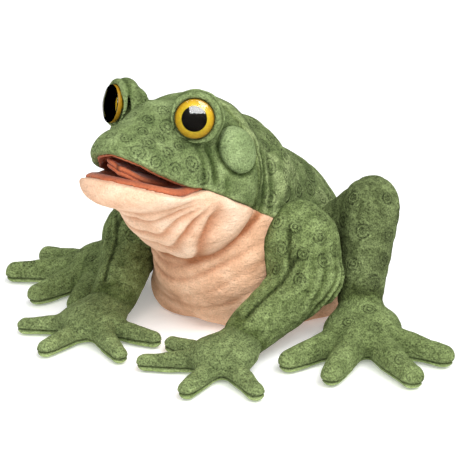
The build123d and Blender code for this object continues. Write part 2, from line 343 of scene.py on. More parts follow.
# ---- materials
class Nodes:
    """Small helper to lay out a shader."""

    def __init__(self, name):
        self.material = bpy.data.materials.new(name)
        self.material.use_nodes = True
        self.tree = self.material.node_tree
        self.tree.nodes.clear()
        out = self.tree.nodes.new("ShaderNodeOutputMaterial")
        self.shader = self.add("ShaderNodeBsdfPrincipled")
        self.link(self.shader.outputs[0], out.inputs["Surface"])

    def add(self, kind, **settings):
        node = self.tree.nodes.new(kind)
        for key, value in settings.items():
            if hasattr(node, key):
                setattr(node, key, value)
            else:
                node.inputs[key.replace("_", " ")].default_value = value
        return node

    def link(self, source, target):
        self.tree.links.new(source, target)

    def math(self, kind, a, b=0.0):
        node = self.add("ShaderNodeMath", operation=kind)
        for k, value in enumerate((a, b)):
            if isinstance(value, (int, float)):
                node.inputs[k].default_value = value
            else:
                self.link(value, node.inputs[k])
        return node.outputs[0]

    def mix(self, kind, amount, a, b):
        node = self.add("ShaderNodeMix", data_type="RGBA", blend_type=kind)
        for socket, value in ((node.inputs[0], amount),
                              (node.inputs[6], a), (node.inputs[7], b)):
            if isinstance(value, (int, float)):
                socket.default_value = value
            elif isinstance(value, tuple):
                socket.default_value = (*value, 1)
            else:
                self.link(value, socket)
        return node.outputs[2]

    def noise(self, scale, stretch=(1, 1, 1), detail=3.0, rough=0.55):
        place = self.add("ShaderNodeTexCoord").outputs["Object"]
        if stretch != (1, 1, 1):
            move = self.add("ShaderNodeMapping")
            move.inputs["Scale"].default_value = stretch
            self.link(place, move.inputs["Vector"])
            place = move.outputs[0]
        node = self.add("ShaderNodeTexNoise", Scale=scale, Detail=detail,
                        Roughness=rough)
        self.link(place, node.inputs["Vector"])
        return node.outputs["Fac"]

    def ramp(self, value, stops):
        node = self.add("ShaderNodeValToRGB")
        band = node.color_ramp
        while len(band.elements) < len(stops):
            band.elements.new(0.5)
        for element, (at, colour) in zip(band.elements, stops):
            element.position = at
            if isinstance(colour, (int, float)):
                colour = (colour, colour, colour)
            element.color = (*colour, 1)
        self.link(value, node.inputs[0])
        return node.outputs[0]

    def attribute(self, name):
        return self.add("ShaderNodeAttribute",
                        attribute_name=name).outputs["Fac"]

    def bump(self, height, distance, strength=1.0, before=None):
        node = self.add("ShaderNodeBump", Distance=distance,
                        Strength=strength)
        self.link(height, node.inputs["Height"])
        if before is not None:
            self.link(before, node.inputs["Normal"])
        return node.outputs[0]

    def set(self, **values):
        for key, value in values.items():
            socket = self.shader.inputs[key.replace("_", " ")]
            if isinstance(value, tuple) and len(value) == 3:
                value = (*value, 1)
            socket.default_value = value


def plush(name, dark, mid, light, fold_shade, sheen=0.3, mottle=55.0,
          contrast=1.0, fuzz=1.0, rings_shown=1.0):
    """Short cut pile: patches where the pile lies differently, streaks,
    single tufts, stitched rings with painted shade and highlight on their
    relief, painted shade in folds and hollows, and seams."""
    n = Nodes(name)
    broad = n.noise(mottle * 0.4, detail=2.0)
    patches = n.noise(mottle, detail=4.0, rough=0.62)
    patches = n.math("ADD", n.math("MULTIPLY", patches, 0.7),
                     n.math("MULTIPLY", broad, 0.3))
    # Painted shade and light: the pile is darker in hollows and lighter on
    # ridges, from the cavity mark.
    cavity = n.attribute("cavity")
    patches = n.math("SUBTRACT", patches,
                     n.math("MULTIPLY", cavity, 0.13 * contrast))
    colour = n.ramp(patches, [(0.33, dark), (0.5, mid), (0.67, light)])
    streaks = n.noise(300, stretch=(1.0, 0.45, 1.5), detail=3.0)
    shade = n.ramp(streaks, [(0.30, 1 - 0.24 * contrast), (0.52, 1.0),
                             (0.74, 1 + 0.22 * contrast)])
    colour = n.mix("MULTIPLY", 1.0, colour, shade)
    tufts = n.noise(760, detail=2.0)
    speck = n.ramp(tufts, [(0.28, 1 - 0.5 * contrast), (0.5, 1.0),
                           (0.75, 1 + 0.45 * contrast)])
    colour = n.mix("MULTIPLY", 1.0, colour, speck)
    ring = n.math("DIVIDE", n.attribute("wart"), WART_REACH)
    rings = n.ramp(ring, [
        (0.0, 0.9), (0.10, 0.8), (0.20, 0.9), (0.30, 0.15), (0.38, 0.7),
        (0.50, 1.0), (0.60, 0.7), (0.68, 0.1), (0.78, 0.5), (1.0, 0.5)])
    # Darker in the rings' grooves and lighter on their ridges and middle:
    # painted shade and highlight that follow the rings' relief.
    line = n.ramp(ring, [
        (0.0, 1.12), (0.2, 1.08), (0.30, 0.66), (0.38, 1.0), (0.50, 1.14),
        (0.59, 1.0), (0.68, 0.58), (0.78, 0.98), (1.0, 1.0)])
    colour = n.mix("MULTIPLY", rings_shown, colour, line)
    # Painted shade in folds, creases and where pieces meet, from the fold
    # mark.
    deep = n.ramp(n.attribute("fold"), [(0.0, (1, 1, 1)), (1.0, fold_shade)])
    colour = n.mix("MULTIPLY", 1.0, colour, deep)
    seam = n.math("DIVIDE", n.attribute("seam"), 5.0)
    stitch = n.ramp(seam, [(0.0, 0.42), (0.18, 0.55), (0.45, 1.0),
                           (1.0, 1.0)])
    colour = n.mix("MULTIPLY", 1.0, colour, stitch)
    n.link(colour, n.shader.inputs["Base Color"])
    n.set(Roughness=0.95, Specular_IOR_Level=0.08, Sheen_Weight=sheen,
          Sheen_Roughness=0.4)
    n.shader.inputs["Sheen Tint"].default_value = (*light, 1)
    normal = n.bump(rings, 0.0014 + 0.0008 * rings_shown)
    normal = n.bump(seam, 0.0016, 0.8, before=normal)
    normal = n.bump(streaks, 0.0026 * fuzz, 0.8, before=normal)
    normal = n.bump(tufts, 0.0016 * fuzz, 0.8, before=normal)
    n.link(normal, n.shader.inputs["Normal"])
    return n.material


def cloth(name, dark, light, weave=900.0, sheen=0.2):
    """Smooth felted or woven cloth."""
    n = Nodes(name)
    patches = n.noise(60, detail=3.0)
    colour = n.ramp(patches, [(0.3, dark), (0.7, light)])
    fine = n.noise(weave, stretch=(1, 0.5, 1), detail=2.0)
    shade = n.ramp(fine, [(0.3, 0.8), (0.7, 1.15)])
    colour = n.mix("MULTIPLY", 1.0, colour, shade)
    seam = n.math("DIVIDE", n.attribute("seam"), 3.0)
    stitch = n.ramp(seam, [(0.0, 0.35), (0.25, 0.75), (0.5, 1.0)])
    colour = n.mix("MULTIPLY", 1.0, colour, stitch)
    # Darker in folds: painted shade from the fold mark.
    deep = n.ramp(n.attribute("fold"), [(0.0, 1.0), (1.0, 0.3)])
    colour = n.mix("MULTIPLY", 1.0, colour, deep)
    n.link(colour, n.shader.inputs["Base Color"])
    n.set(Roughness=0.85, Specular_IOR_Level=0.2, Sheen_Weight=sheen,
          Sheen_Roughness=0.4)
    normal = n.bump(fine, 0.0004)
    normal = n.bump(seam, 0.0008, before=normal)
    n.link(normal, n.shader.inputs["Normal"])
    return n.material


# Each plush takes a dark, a middle and a light colour and a tint for painted
# shade in folds.
GREEN_FOLD_SHADE = (0.34, 0.38, 0.26)
LIMB_FOLD_SHADE = (0.4, 0.42, 0.32)
PALE_FOLD_SHADE = (0.5, 0.5, 0.4)
LIMB_PILE = {"mottle": 75.0, "contrast": 1.3, "fuzz": 0.75}
PEACH_PILE = {"sheen": 0.15, "mottle": 40.0, "fuzz": 0.6}
GREEN = plush("green_plush", (0.094, 0.134, 0.047), (0.156, 0.206, 0.080),
              (0.252, 0.324, 0.140), GREEN_FOLD_SHADE, rings_shown=0.45)
BACK = plush("back_plush", (0.060, 0.090, 0.029), (0.138, 0.182, 0.069),
             (0.340, 0.415, 0.185), GREEN_FOLD_SHADE, mottle=50.0, contrast=1.1,
             rings_shown=0.8)
LIMB = plush("limb_plush", (0.102, 0.137, 0.048), (0.148, 0.194, 0.072),
             (0.208, 0.268, 0.106), LIMB_FOLD_SHADE, rings_shown=0.45,
             **LIMB_PILE)
# The legs take a darker copy of the arms' plush: painted shade on the legs.
LEG_SHADED = plush("leg_plush_shaded", (0.070, 0.090, 0.034), (0.108, 0.138, 0.054),
            (0.162, 0.204, 0.084), LIMB_FOLD_SHADE, rings_shown=0.5, **LIMB_PILE)
HAND = plush("hand_plush", (0.098, 0.129, 0.049), (0.146, 0.189, 0.075),
             (0.212, 0.272, 0.112), LIMB_FOLD_SHADE, **LIMB_PILE)
SOLE = plush("sole_plush", (0.16, 0.22, 0.075), (0.26, 0.35, 0.125),
             (0.38, 0.48, 0.20), PALE_FOLD_SHADE, contrast=0.8)
PAD = plush("gland_plush", (0.130, 0.180, 0.066), (0.200, 0.268, 0.114),
            (0.290, 0.375, 0.172), PALE_FOLD_SHADE, contrast=0.8)
# The chin's peach is lighter than the chest's, partly its own paler tone and
# partly painted light from above.
PEACH = plush("peach_plush", (0.66, 0.39, 0.25), (0.78, 0.52, 0.36),
              (0.86, 0.65, 0.49), (0.62, 0.40, 0.29), contrast=0.28,
              **PEACH_PILE)
CHEST = plush("chest_plush", (0.56, 0.31, 0.185), (0.73, 0.44, 0.28),
              (0.84, 0.57, 0.39), (0.55, 0.36, 0.26), contrast=0.3,
              **PEACH_PILE)
FELT = cloth("orange_felt", (0.34, 0.085, 0.036), (0.50, 0.150, 0.068))
TONGUE_FELT = cloth("tongue_felt", (0.46, 0.120, 0.050),
                    (0.62, 0.210, 0.100))
LINING = cloth("green_lining", (0.05, 0.09, 0.035), (0.08, 0.13, 0.05))
BOARD = cloth("mouth_board", (0.7, 0.7, 0.66), (0.8, 0.8, 0.76), sheen=0.0)


def eye_materials():
    n = Nodes("yellow_iris")
    colour = n.ramp(n.attribute("ring"), [
        (0.0, (0.72, 0.50, 0.02)), (0.68, (0.78, 0.56, 0.02)),
        (0.86, (0.66, 0.42, 0.012)), (0.95, (0.55, 0.32, 0.010)),
        (1.0, (0.34, 0.18, 0.008))])
    grain = n.noise(500, detail=3.0)
    shade = n.ramp(grain, [(0.3, 0.85), (0.7, 1.12)])
    colour = n.mix("MULTIPLY", 1.0, colour, shade)
    n.link(colour, n.shader.inputs["Base Color"])
    n.set(Roughness=0.4, Specular_IOR_Level=0.3)
    iris = n.material
    n = Nodes("black_pupil")
    grain = n.noise(300, detail=2.0)
    n.link(n.ramp(grain, [(0.3, (0.008, 0.007, 0.006)),
                          (0.7, (0.016, 0.014, 0.012))]),
           n.shader.inputs["Base Color"])
    n.set(Roughness=0.12, Specular_IOR_Level=0.5)
    pupil = n.material
    n = Nodes("clear_dome")
    n.set(Base_Color=(1, 1, 1), Roughness=0.03, Metallic=1.0)
    rim = n.add("ShaderNodeFresnel", IOR=1.45)
    n.link(rim.outputs[0], n.shader.inputs["Alpha"])
    haze = n.noise(120, detail=2.0)
    n.link(n.bump(haze, 0.00003), n.shader.inputs["Normal"])
    return iris, pupil, n.material


IRIS, PUPIL, DOME = eye_materials()

# ---- head and torso
EYE = np.array((30.8, -77.4, 189.8))
EYE_AXIS = unit((0.50, -0.84, 0.21))
LID_R = 16.6
IRIS_R = 14.2
PUPIL_R = 9.2
NECK_Y = -36.0      # seam between head and back
CORNER_Y = -88      # corner of the mouth
REAR_Y = 122        # rear edge of the body, round the opening
SEAM_Y = -13        # where the green and peach seam bends
SEAM_FALL = 0.545   # fall of the seam from the mouth's corner to there
MOUTH_FOLD = np.array((-84.0, 139.0))   # y and z of the mouth's rear fold


def upper_lip(y):
    front = np.clip((CORNER_Y - y) / 52, 0, 1.3)
    rear = np.maximum(y - CORNER_Y, 0)
    return 141.5 + 32.5 * front ** 1.5 - SEAM_FALL * rear


def lower_lip(y):
    front = np.clip((-104 - y) / 37, 0, 1.4)
    rear = np.maximum(y - CORNER_Y, 0)
    return (138 + 14 * front ** 1.3 - SEAM_FALL * rear
            + 3.9 * step01(y, -91, -82))


def seam_height(y):
    past = y - SEAM_Y
    return np.where(y < SEAM_Y, 100 - past * SEAM_FALL, 100 - past * 0.667)


def head_form(q):
    nose = cone(q, (0, -107, 157), 27, (0, -44, 138), 57)
    side = cone(q, (14, -101, 151), 27, (13, -46, 137), 47)
    tip = cone(q, (0, -124, 165), 20, (9, -119, 163), 20.5)
    bridge = cone(q, (0, -122, 167), 18, (0, -84, 179), 19)
    crown = oval(q, (0, -70, 175), (32, 36, 21))
    form = join(np.minimum(nose, side), crown, 8)
    form = join(form, np.minimum(tip, bridge), 10)
    mound = ball(q, (31, -67, 178), 15)
    return join(form, mound, 6)


def torso_form(q):
    upright = cone(q, (0, 3, 56), 58, (0, -8, 116), 57)
    spine = cone(q, (0, -6, 113), 54, (0, 72, 60), 60)
    belly = cone(q, (0, 8, 47), 48, (0, 66, 48), 51)
    sag = cone(q, (32, 4, 25), 33, (35, 46, 26), 33)
    skirt = cone(q, (50, 34, 20), 22, (60, 50, 22), 24)
    form = join(join(np.minimum(upright, spine), belly, 4), sag, 8)
    return join(form, skirt, 8)


def green_form(q):
    neck = cone(q, (0, -44, 138), 55, (0, -2, 117), 55)
    body = join(torso_form(q), neck, 3)
    return join(head_form(q), body, 5)


GLAND = np.array((51.0, -54.0, 163.5))


def gland_turn():
    """Axes of the gland: thickness, width, height."""
    out = unit((0.90, 0.0, 0.42))
    tall = np.array((-0.40, -0.30, 0.86))
    tall = unit(tall - out * (tall @ out))
    return np.stack([out, np.cross(tall, out), tall], 1)


def gland_shape(q):
    return oval(q, GLAND, (10.0, 17.0, 18.5), gland_turn())


def side_folds(q):
    """Creases behind the eye and behind the neck seam, 0 to 1."""
    x, y, z = q.T
    out = np.zeros(len(q))
    wide = step01(x, 26, 44)
    for y0, lean, low, high, width, deep in (
            (-88, 0.22, 140, 184, 2.4, 0.7), (-79, 0.12, 138, 178, 2.6, 1.0),
            (-70, 0.02, 124, 154, 2.4, 0.6), (-29, 0.05, 96, 168, 2.6, 0.9),
            (-20, 0.12, 92, 160, 3.0, 0.9), (-9, 0.18, 96, 150, 3.0, 0.6)):
        span = step01(z, low, low + 10) * (1 - step01(z, high - 12, high))
        out += deep * span * wide * crease(y - y0 - lean * (z - 150), width)
    return np.clip(out, 0, 1)


def ruffle(p, size, seed):
    """Crumpled cloth: soft ridges with narrow valleys, about -1 to 0."""
    a = np.abs(lumps(p, size, seed))
    b = np.abs(lumps(p, size * 0.55, seed + 7))
    return -np.exp(-(a / 0.25) ** 2) * 0.6 - np.exp(-(b / 0.25) ** 2) * 0.4


def gland_edge(q):
    """Groove round the pad behind the eye, 0 to 1."""
    return crease(gland_shape(q) - 0.6, 2.0) * step01(q[:, 0], 30, 40)


def soft_green(p):
    q = half(p)
    form = green_form(q) + 2.6 * side_folds(q) + 1.8 * gland_edge(q)
    rear = step01(p[:, 1], -50, -10)
    form = form + (0.5 + 0.7 * rear) * lumps(p, 46, 1)
    return form - (0.5 + 0.5 * rear) * ruffle(p, 34, 2)


# Axis of the hollow for the hand, from the rear opening forward and up.
SLEEVE_START = np.array((0, 140, 36.0))
SLEEVE_WAY = unit((0, -170, 70.0))
SLEEVE_UP = np.array((0, SLEEVE_WAY[2], -SLEEVE_WAY[1]))
SLEEVE_HALF = (38, 25)      # half width and half height


def sleeve(p):
    """The hollow's oval tunnel, which ends in front of the neck."""
    q = p - SLEEVE_START
    r = np.sqrt((q[:, 0] / SLEEVE_HALF[0]) ** 2
                + ((q @ SLEEVE_UP) / SLEEVE_HALF[1]) ** 2)
    return both((r - 1) * 26, -50 - p[:, 1], 4)


def hand_room(p):
    """Room for the fingers above the mouth and the thumb below it."""
    fingers = cone(p, (0, -50, 140), 26, (0, -98, 166), 10)
    thumb = cone(p, (0, -50, 118), 20, (0, -98, 128), 8)
    return join(fingers, thumb, 6)


def mouth_roof(p):
    """Height of the roof of the mouth, domed up inside the lip."""
    deep = step01(-head_form(half(p)), 4.5, 15)
    return upper_lip(p[:, 1]) + 12 * deep * step01(-p[:, 1], 84, 100)


def head_skin(p):
    f = soft_green(p)
    f = both(f, p[:, 1] - NECK_Y, 4)
    f = both(f, (mouth_roof(p) - p[:, 2]) * 0.8, 2)
    return both(f, -hand_room(p), 3)


def back_skin(p):
    y, z = p[:, 1], p[:, 2]
    f = both(soft_green(p), NECK_Y - y, 4)
    f = both(f, (seam_height(y) - z) * 0.83, 2)
    f = both(f, y - REAR_Y, 8)
    return both(f, -sleeve(p), 3)


def chest_folds(p):
    """Sagging folds across the chest, 0 to 1."""
    x, y, z = p.T
    out = np.zeros(len(p))
    for base, sag, seed in ((63, 0.010, 91), (49, 0.008, 92),
                            (35, 0.007, 93), (22, 0.005, 94)):
        line = base + sag * (x + 12) ** 2 + 4 * lumps(p, 70, seed)
        out += crease(z - line, 2.6) * (0.6 + 0.4 * lumps(p, 45, seed + 9))
    return np.clip(out, 0, 1) * step01(-y, -30, 10)


def belly_skin(p):
    q = half(p)
    y, z = p[:, 1], p[:, 2]
    drape = ruffle(p * np.array((1.0, 1.0, 1.7)), 42, 5)
    f = torso_form(q) + 0.9 * lumps(p, 40, 5) - 0.8 * drape
    f = f + 2.4 * chest_folds(p)
    neck = cone(q, (0, -36, 98), 36, (0, 0, 90), 50)
    f = join(f, neck, 6)
    f = both(f, (z - seam_height(y) - 1.0) * 0.83, 2)
    f = both(f, y - REAR_Y, 8)
    f = both(f, -z, 5)
    return both(f, -sleeve(p), 3)


def jaw_form(q):
    lip = oval(q, (0, -100, 145), (46, 48, 21))
    body = cone(q, (8, -88, 134), 26, (8, -54, 124), 41)
    side = cone(q, (26, -74, 134), 24, (31, -42, 121), 27)
    pouch = cone(q, (6, -72, 113), 25, (9, -50, 105), 34)
    form = join(join(lip, body, 14), side, 6)
    return join(form, pouch, 12)


def throat_angle(p):
    """Angle round the mouth's fold, degrees, 0 level forward."""
    y, z = MOUTH_FOLD
    return np.degrees(np.arctan2(p[:, 2] - z, -(p[:, 1] - y)))


def throat_folds(p):
    """Folds that fan out from the mouth's fold, 0 to 1."""
    angle = throat_angle(p)
    warp = 9 * lumps(p, 75, 11) + 3 * lumps(p, 30, 12)
    rear = np.maximum(-angle - 105, 0)
    u = (-angle - 0.45 * rear + warp) / 22.0
    line = (0.5 + 0.5 * np.cos(2 * math.pi * u)) ** 2.2
    reach = length(p[:, 1:] - MOUTH_FOLD)
    span = step01(-angle, 4, 34) * step01(reach, 8, 26)
    return line * span * (0.7 + 0.3 * lumps(p, 60, 13))


def mouth_floor(p):
    """Height of the floor of the mouth, raised inside the lip."""
    inside = -jaw_form(half(p))
    level = 3.0 * step01(inside, 2.5, 8) - 6.0 * step01(inside, 9, 24)
    return lower_lip(p[:, 1]) + level * step01(-p[:, 1], 84, 96)


def chin_skin(p):
    f = jaw_form(half(p)) + 2.8 * throat_folds(p) - 0.9
    f = f + 0.7 * lumps(p, 40, 8) - 0.5 * ruffle(p, 26, 9)
    f = both(f, (p[:, 2] - mouth_floor(p)) * 0.9, 3)
    f = both(f, (p[:, 2] - seam_height(p[:, 1]) - 1.5) * 0.83, 2)
    f = both(f, p[:, 1] + 16, 4)
    return both(f, -hand_room(p), 3)


def snout_zone(x, y, z):
    return ((x > 4) & (y < CORNER_Y) & (z > upper_lip(y) + 7)
            & (length(np.stack([x, y, z], 1) - EYE) > 23))


def back_zone(x, y, z):
    return (x > 6) & (y > -18) & (y < 112) & (z > seam_height(y) + 9)


def green_side(p):
    return green_form(half(p))


SNOUT_WARTS = scatter(green_side, (4, -140, 140), (50, CORNER_Y, 200),
                      snout_zone, gap=11.5, sizes=(3.4, 5.6), seed=17)
BACK_WARTS = scatter(green_side, (6, -18, 70), (62, 112, 190), back_zone,
                     gap=14.5, sizes=(4.6, 6.4), seed=5)


def belly_shade(p):
    """Shade in the chest's folds and under the dewlap."""
    under = 0.9 * crease(jaw_form(half(p)) - 1.5, 3.5)
    return np.clip(0.8 * chest_folds(p) + under, 0, 1)


def chin_shade(p):
    """Shade in the throat's folds and where it lies on the chest."""
    on_chest = 0.9 * crease(torso_form(half(p)) - 2.0, 4.0)
    return np.clip(throat_folds(p) + on_chest * step01(-p[:, 2], -98, -88),
                   0, 1)


# Painted shade in the side creases, along the neck seam and round the gland
# pads, 0 to 1.
def green_fold_shade(p):
    q = half(p)
    neck = 0.9 * crease(p[:, 1] - NECK_Y, 3.5)
    return np.clip(side_folds(q) + neck + gland_edge(q), 0, 1)


head = body_piece("head_skin", head_skin, (-68, -150, 98), (68, -30, 212),
                  2.3, GREEN, SNOUT_WARTS, green_fold_shade)
back = body_piece("back_skin", back_skin, (-70, -42, 8), (70, 130, 196),
                  2.9, BACK, BACK_WARTS, green_fold_shade)
belly = body_piece("belly_skin", belly_skin, (-92, -86, -4),
                   (92, 130, 150), 2.7, CHEST, folds=belly_shade)
chin = body_piece("chin_skin", chin_skin, (-66, -156, 64), (66, -8, 160),
                  2.2, PEACH, folds=chin_shade)


# ---- mouth
def lined(name, surface, form, above, inset, thick, step, material):
    """Sheet that follows the mouth's surface inside the lip."""
    def field(p):
        level = p[:, 2] - surface(p) - above
        sheet = (np.abs(level) - thick) * 0.75
        f = both(sheet, form(half(p)) + inset, 1.5)
        return both(f, p[:, 1] - MOUTH_FOLD[0], 2)
    return body_piece(name, field, (-56, -150, 128), (56, -80, 192), step,
                      material)


def pocket(low_a, r_a, low_b, r_b, rear, wall=1.4):
    """Hollow fabric finger stall, open at the rear."""
    def field(p):
        outer = cone(p, low_a, r_a, low_b, r_b)
        inner = cone(p, low_a, r_a - wall, low_b, r_b - wall)
        f = both(outer, -inner, 0.6)
        return both(f, p[:, 1] - rear, 1)
    return field


def tongue_height(y):
    return 140.5 + 0.40 * (-88 - y) + 2.0 * step01(-y, 118, 134)


def tongue_side(p):
    """Distance past the tongue's rounded outline."""
    x, y = p[:, 0], p[:, 1]
    tip = np.maximum(-y - 118, 0)
    return np.sqrt(x * x + tip * tip * 1.3) - 16.5


def tongue_layer(name, lift, thick, folds=None):
    """One felt layer of the tongue, bent down its middle."""
    def field(p):
        x, y, z = p.T
        level = tongue_height(y) - 0.30 * x + lift
        level = level - 1.0 * crease(x - 1, 3.0)
        flat = (np.abs(z - level) - thick) * 0.9
        f = both(flat, tongue_side(p), 2.5)
        return both(f, y + 90, 2)
    return body_piece(name, field, (-22, -140, 130), (22, -84, 178), 1.1,
                      TONGUE_FELT, folds=folds)


roof = lined("upper_mouth_felt", mouth_roof, head_form, -0.8, 5.6, 1.5, 1.6,
             FELT)
floor = lined("lower_mouth_felt", mouth_floor, jaw_form, 1.5, 3.6, 1.6, 1.6,
              FELT)
roof_board = lined("upper_board", mouth_roof, head_form, 2.4, 10.0, 0.9, 1.9,
                   BOARD)
floor_board = lined("lower_board", mouth_floor, jaw_form, -2.2, 10.0, 0.9,
                    1.9, BOARD)
finger_stall = body_piece("finger_stall",
                          pocket((0, -60, 162), 17, (0, -104, 175), 9, -62),
                          (-24, -118, 134), (24, -48, 190), 1.8, LINING)
thumb_stall = body_piece("thumb_stall",
                         pocket((0, -78, 123), 11, (0, -108, 129), 6.5, -80),
                         (-20, -116, 100), (20, -48, 142), 1.8, LINING)
tongue_low = tongue_layer("tongue_lower_layer", -1.8, 1.8)
# The upper layer is darker down its middle: painted shade in its groove.
tongue_up = tongue_layer("tongue_upper_layer", 2.1, 2.1,
                         lambda p: crease(p[:, 0] - 1, 1.2))


# ---- eyes, lids, glands
def stands_for(obj, body, node):
    """A piece that moves with one body and stands for one node."""
    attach(obj, body)
    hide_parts(node)


# The eye's domed front: its radius, the offset of its rim and its rise.
CAP_R, CAP_LOW, CAP_RISE = IRIS_R - 0.1, 14.0, 3.6


def eye_frame():
    """Sideways, upward and forward directions of the eye."""
    u = unit(np.cross(EYE_AXIS, (0, 0, 1)))
    return u, np.cross(u, EYE_AXIS), EYE_AXIS


def lathe(name, profile, material, side):
    """Turned piece on the eye's axis. Profile is (radius, offset)."""
    u, v, n = eye_frame()
    segments = 72
    verts = []
    ring = []
    for r, h in profile:
        for k in range(segments):
            t = 2 * math.pi * k / segments
            verts.append(EYE + n * h + r * (u * math.cos(t)
                                            + v * math.sin(t)))
            ring.append(r / IRIS_R)
    faces = []
    for j in range(len(profile) - 1):
        for k in range(segments):
            m = (k + 1) % segments
            a, b = j * segments, (j + 1) * segments
            faces.append((a + k, b + k, b + m, a + m))
    faces.append(tuple(range(segments)))
    last = (len(profile) - 1) * segments
    faces.append(tuple(last + k for k in range(segments))[::-1])
    verts = np.array(verts)
    if side < 0:
        verts = verts * MIRROR
        faces = [f[::-1] for f in faces]
    return make(name, verts, faces, material, {"ring": ring})


def cap_height(r):
    """Offset of the eye's domed front at radius r."""
    big = (CAP_R ** 2 + CAP_RISE ** 2) / (2 * CAP_RISE)
    return CAP_LOW + CAP_RISE - big + math.sqrt(big ** 2 - r ** 2)


def cap_profile(steps=14):
    """The domed front from its rim to its middle."""
    radii = [CAP_R * (1 - k / steps) for k in range(1, steps)]
    return ([(CAP_R, CAP_LOW)] + [(r, cap_height(r)) for r in radii]
            + [(0.3, CAP_LOW + CAP_RISE)])


def lid_rolls(p):
    """The two rolls of the eyelid's hood and how far they cover."""
    d = half(p) - EYE
    u, v, n = eye_frame()
    ahead = d @ n
    side, up = -(d @ u), d @ v
    around = np.sqrt(side ** 2 + up ** 2)
    clock = np.degrees(np.arctan2(up, side))
    cover = step01(clock, -85, -35) * (1 - step01(clock, 125, 168))
    front = np.sqrt((around - 16.4) ** 2 + (ahead - 9.6) ** 2)
    rear = np.sqrt((around - 15.4) ** 2 + (ahead - 3.0) ** 2)
    return (front - 1.3 - 1.7 * cover, rear - 1.0 - 4.5 * cover, cover,
            ahead, around)


def lid_field(p):
    d = half(p) - EYE
    front, rear, cover, ahead, around = lid_rolls(p)
    hood = length(d - 0.8 * EYE_AXIS) - LID_R
    hood = both(hood, ahead - 3 - 3 * cover, 3)
    f = join(join(front, rear, 1.4), hood, 4.0)
    f = f + 0.35 * lumps(p, 14, 21)
    bore = np.where(ahead > 8, IRIS_R + 0.2, IRIS_R + 0.6) - around
    inner = np.where(ahead > 0, bore, 14.6 - length(d))
    return both(f, inner, 1.0)


def lid_fold(p):
    """Shade between the lid's rolls and behind them, 0 to 1."""
    front, rear, cover, ahead, _ = lid_rolls(p)
    between = 0.9 * crease(front - rear, 1.8) * cover
    behind = 0.5 * crease(ahead + 4.0, 3.0)
    return np.clip(between + behind, 0, 1)


def gland_field(p):
    return gland_shape(half(p)) + 0.35 * lumps(p, 18, 31)


def pad_seam(p):
    """Distance from the pad's stitched edge."""
    return np.abs(green_side(p) + 0.2)


lids = body_piece("eyelids", lid_field, (-58, -104, 164), (58, -52, 216),
                  1.5, GREEN, folds=lid_fold)
glands = body_piece("glands", gland_field, (-70, -84, 140),
                    (70, -28, 196), 2.0, PAD, seam=pad_seam)


def split_sides(obj, name):
    """Splits a mirrored pair into a left and a right object."""
    out = []
    for label, sign in SIDES.items():
        mesh = obj.data.copy()
        piece = bpy.data.objects.new(f"{name}_{label}", mesh)
        bpy.context.scene.collection.objects.link(piece)
        bm = bmesh.new()
        bm.from_mesh(mesh)
        gone = [v for v in bm.verts if v.co.x * sign < 0]
        bmesh.ops.delete(bm, geom=gone, context="VERTS")
        bm.to_mesh(mesh)
        bm.free()
        out.append(piece)
    bpy.data.objects.remove(obj)
    return out


lid_pair = split_sides(lids, "eyelid")
gland_pair = split_sides(glands, "gland_pad")

for label, sign in SIDES.items():
    cap = cap_profile()
    rim = [(r, h) for r, h in cap if r > PUPIL_R]
    middle = [(r, h) for r, h in cap if r < PUPIL_R]
    edge = cap_height(PUPIL_R)
    shank = [(3.0, 2.0), (3.0, 10.8)]
    cup = [(IRIS_R - 0.6, 10.8), (IRIS_R, 11.4), (IRIS_R, 13.6)]
    seat = [(PUPIL_R, edge), (9.0, edge - 0.8), (0.3, edge - 0.8)]
    disc = [(9.0, edge - 0.7), (9.15, edge - 0.4), (9.15, edge + 0.02)]
    under = [(r, h + 0.3) for r, h in cap[::-1]]
    over = [(r + 0.15, h + 0.8) for r, h in cap]
    for piece, profile, material, slot in (
            ("iris", shank + cup + rim + seat, IRIS, "yellow_iris"),
            ("pupil", disc + middle, PUPIL, "black_pupil"),
            ("dome", under + over, DOME, "clear_dome")):
        obj = lathe(f"{piece}_{label}", profile, material, sign)
        stands_for(obj, "head", f"eye_{piece}_{label}")


# ---- limbs
SHOULDER, ELBOW, WRIST = (68, 6, 77), (84, -2, 55), (64, -60, 22)
HIP, KNEE, ANKLE = (60, 72, 50), (101, 60, 98), (113, 26, 36)
PALM, INSTEP = (62, -88, 15), (126, 8, 17)
FINGER_TIPS = [(108, -115), (66, -141), (12, -119), (9, -80)]
TOE_TIPS = [(193, 13), (190, -33), (141, -63), (101, -60)]
SEAM_Z = 6.4        # height of the seam round hands and feet


def arm_field(p):
    upper = cone(p, SHOULDER, 31, (81, -5, 57), 27)
    lower = cone(p, ELBOW, 25, WRIST, 17.5)
    f = join(upper, lower, 4)
    wave, near = elbow_wrinkle(p)
    f = f + near * 1.6 * wave + 0.9 * lumps(p, 30, 42)
    f = f + 0.9 * crease(arm_seam(p), 2.0)
    return f - 1.2 * ruffle(p, 24, 43)


def leg_field(p):
    upper = cone(p, HIP, 32, KNEE, 22)
    lower = cone(p, KNEE, 21.5, ANKLE, 17.5)
    f = join(upper, lower, 5)
    return f + 1.0 * lumps(p, 32, 51) - 1.3 * ruffle(p, 26, 52)


def line_mark(p, a, b, aim, low, high):
    """Distance from a seam that runs from a to b on the aim side."""
    a, b, aim = (np.array(v, float) for v in (a, b, aim))
    way = unit(b - a)
    aim = unit(aim - way * (aim @ way))
    along = (p - a) @ way
    off = np.abs((p - a) @ np.cross(way, aim))
    facing = (p - a) @ aim > 0
    inside = facing & (along > low) & (along < high)
    return np.where(inside, off, NO_SEAM)


def arm_seam(p):
    along = line_mark(p, ELBOW, WRIST, (0.2, -0.3, 1.0), 6, 66)
    upper = line_mark(p, (72, 2, 92), (84, -12, 48), (0.1, -1, 0.25),
                      4, 36)
    return np.minimum(along, upper)


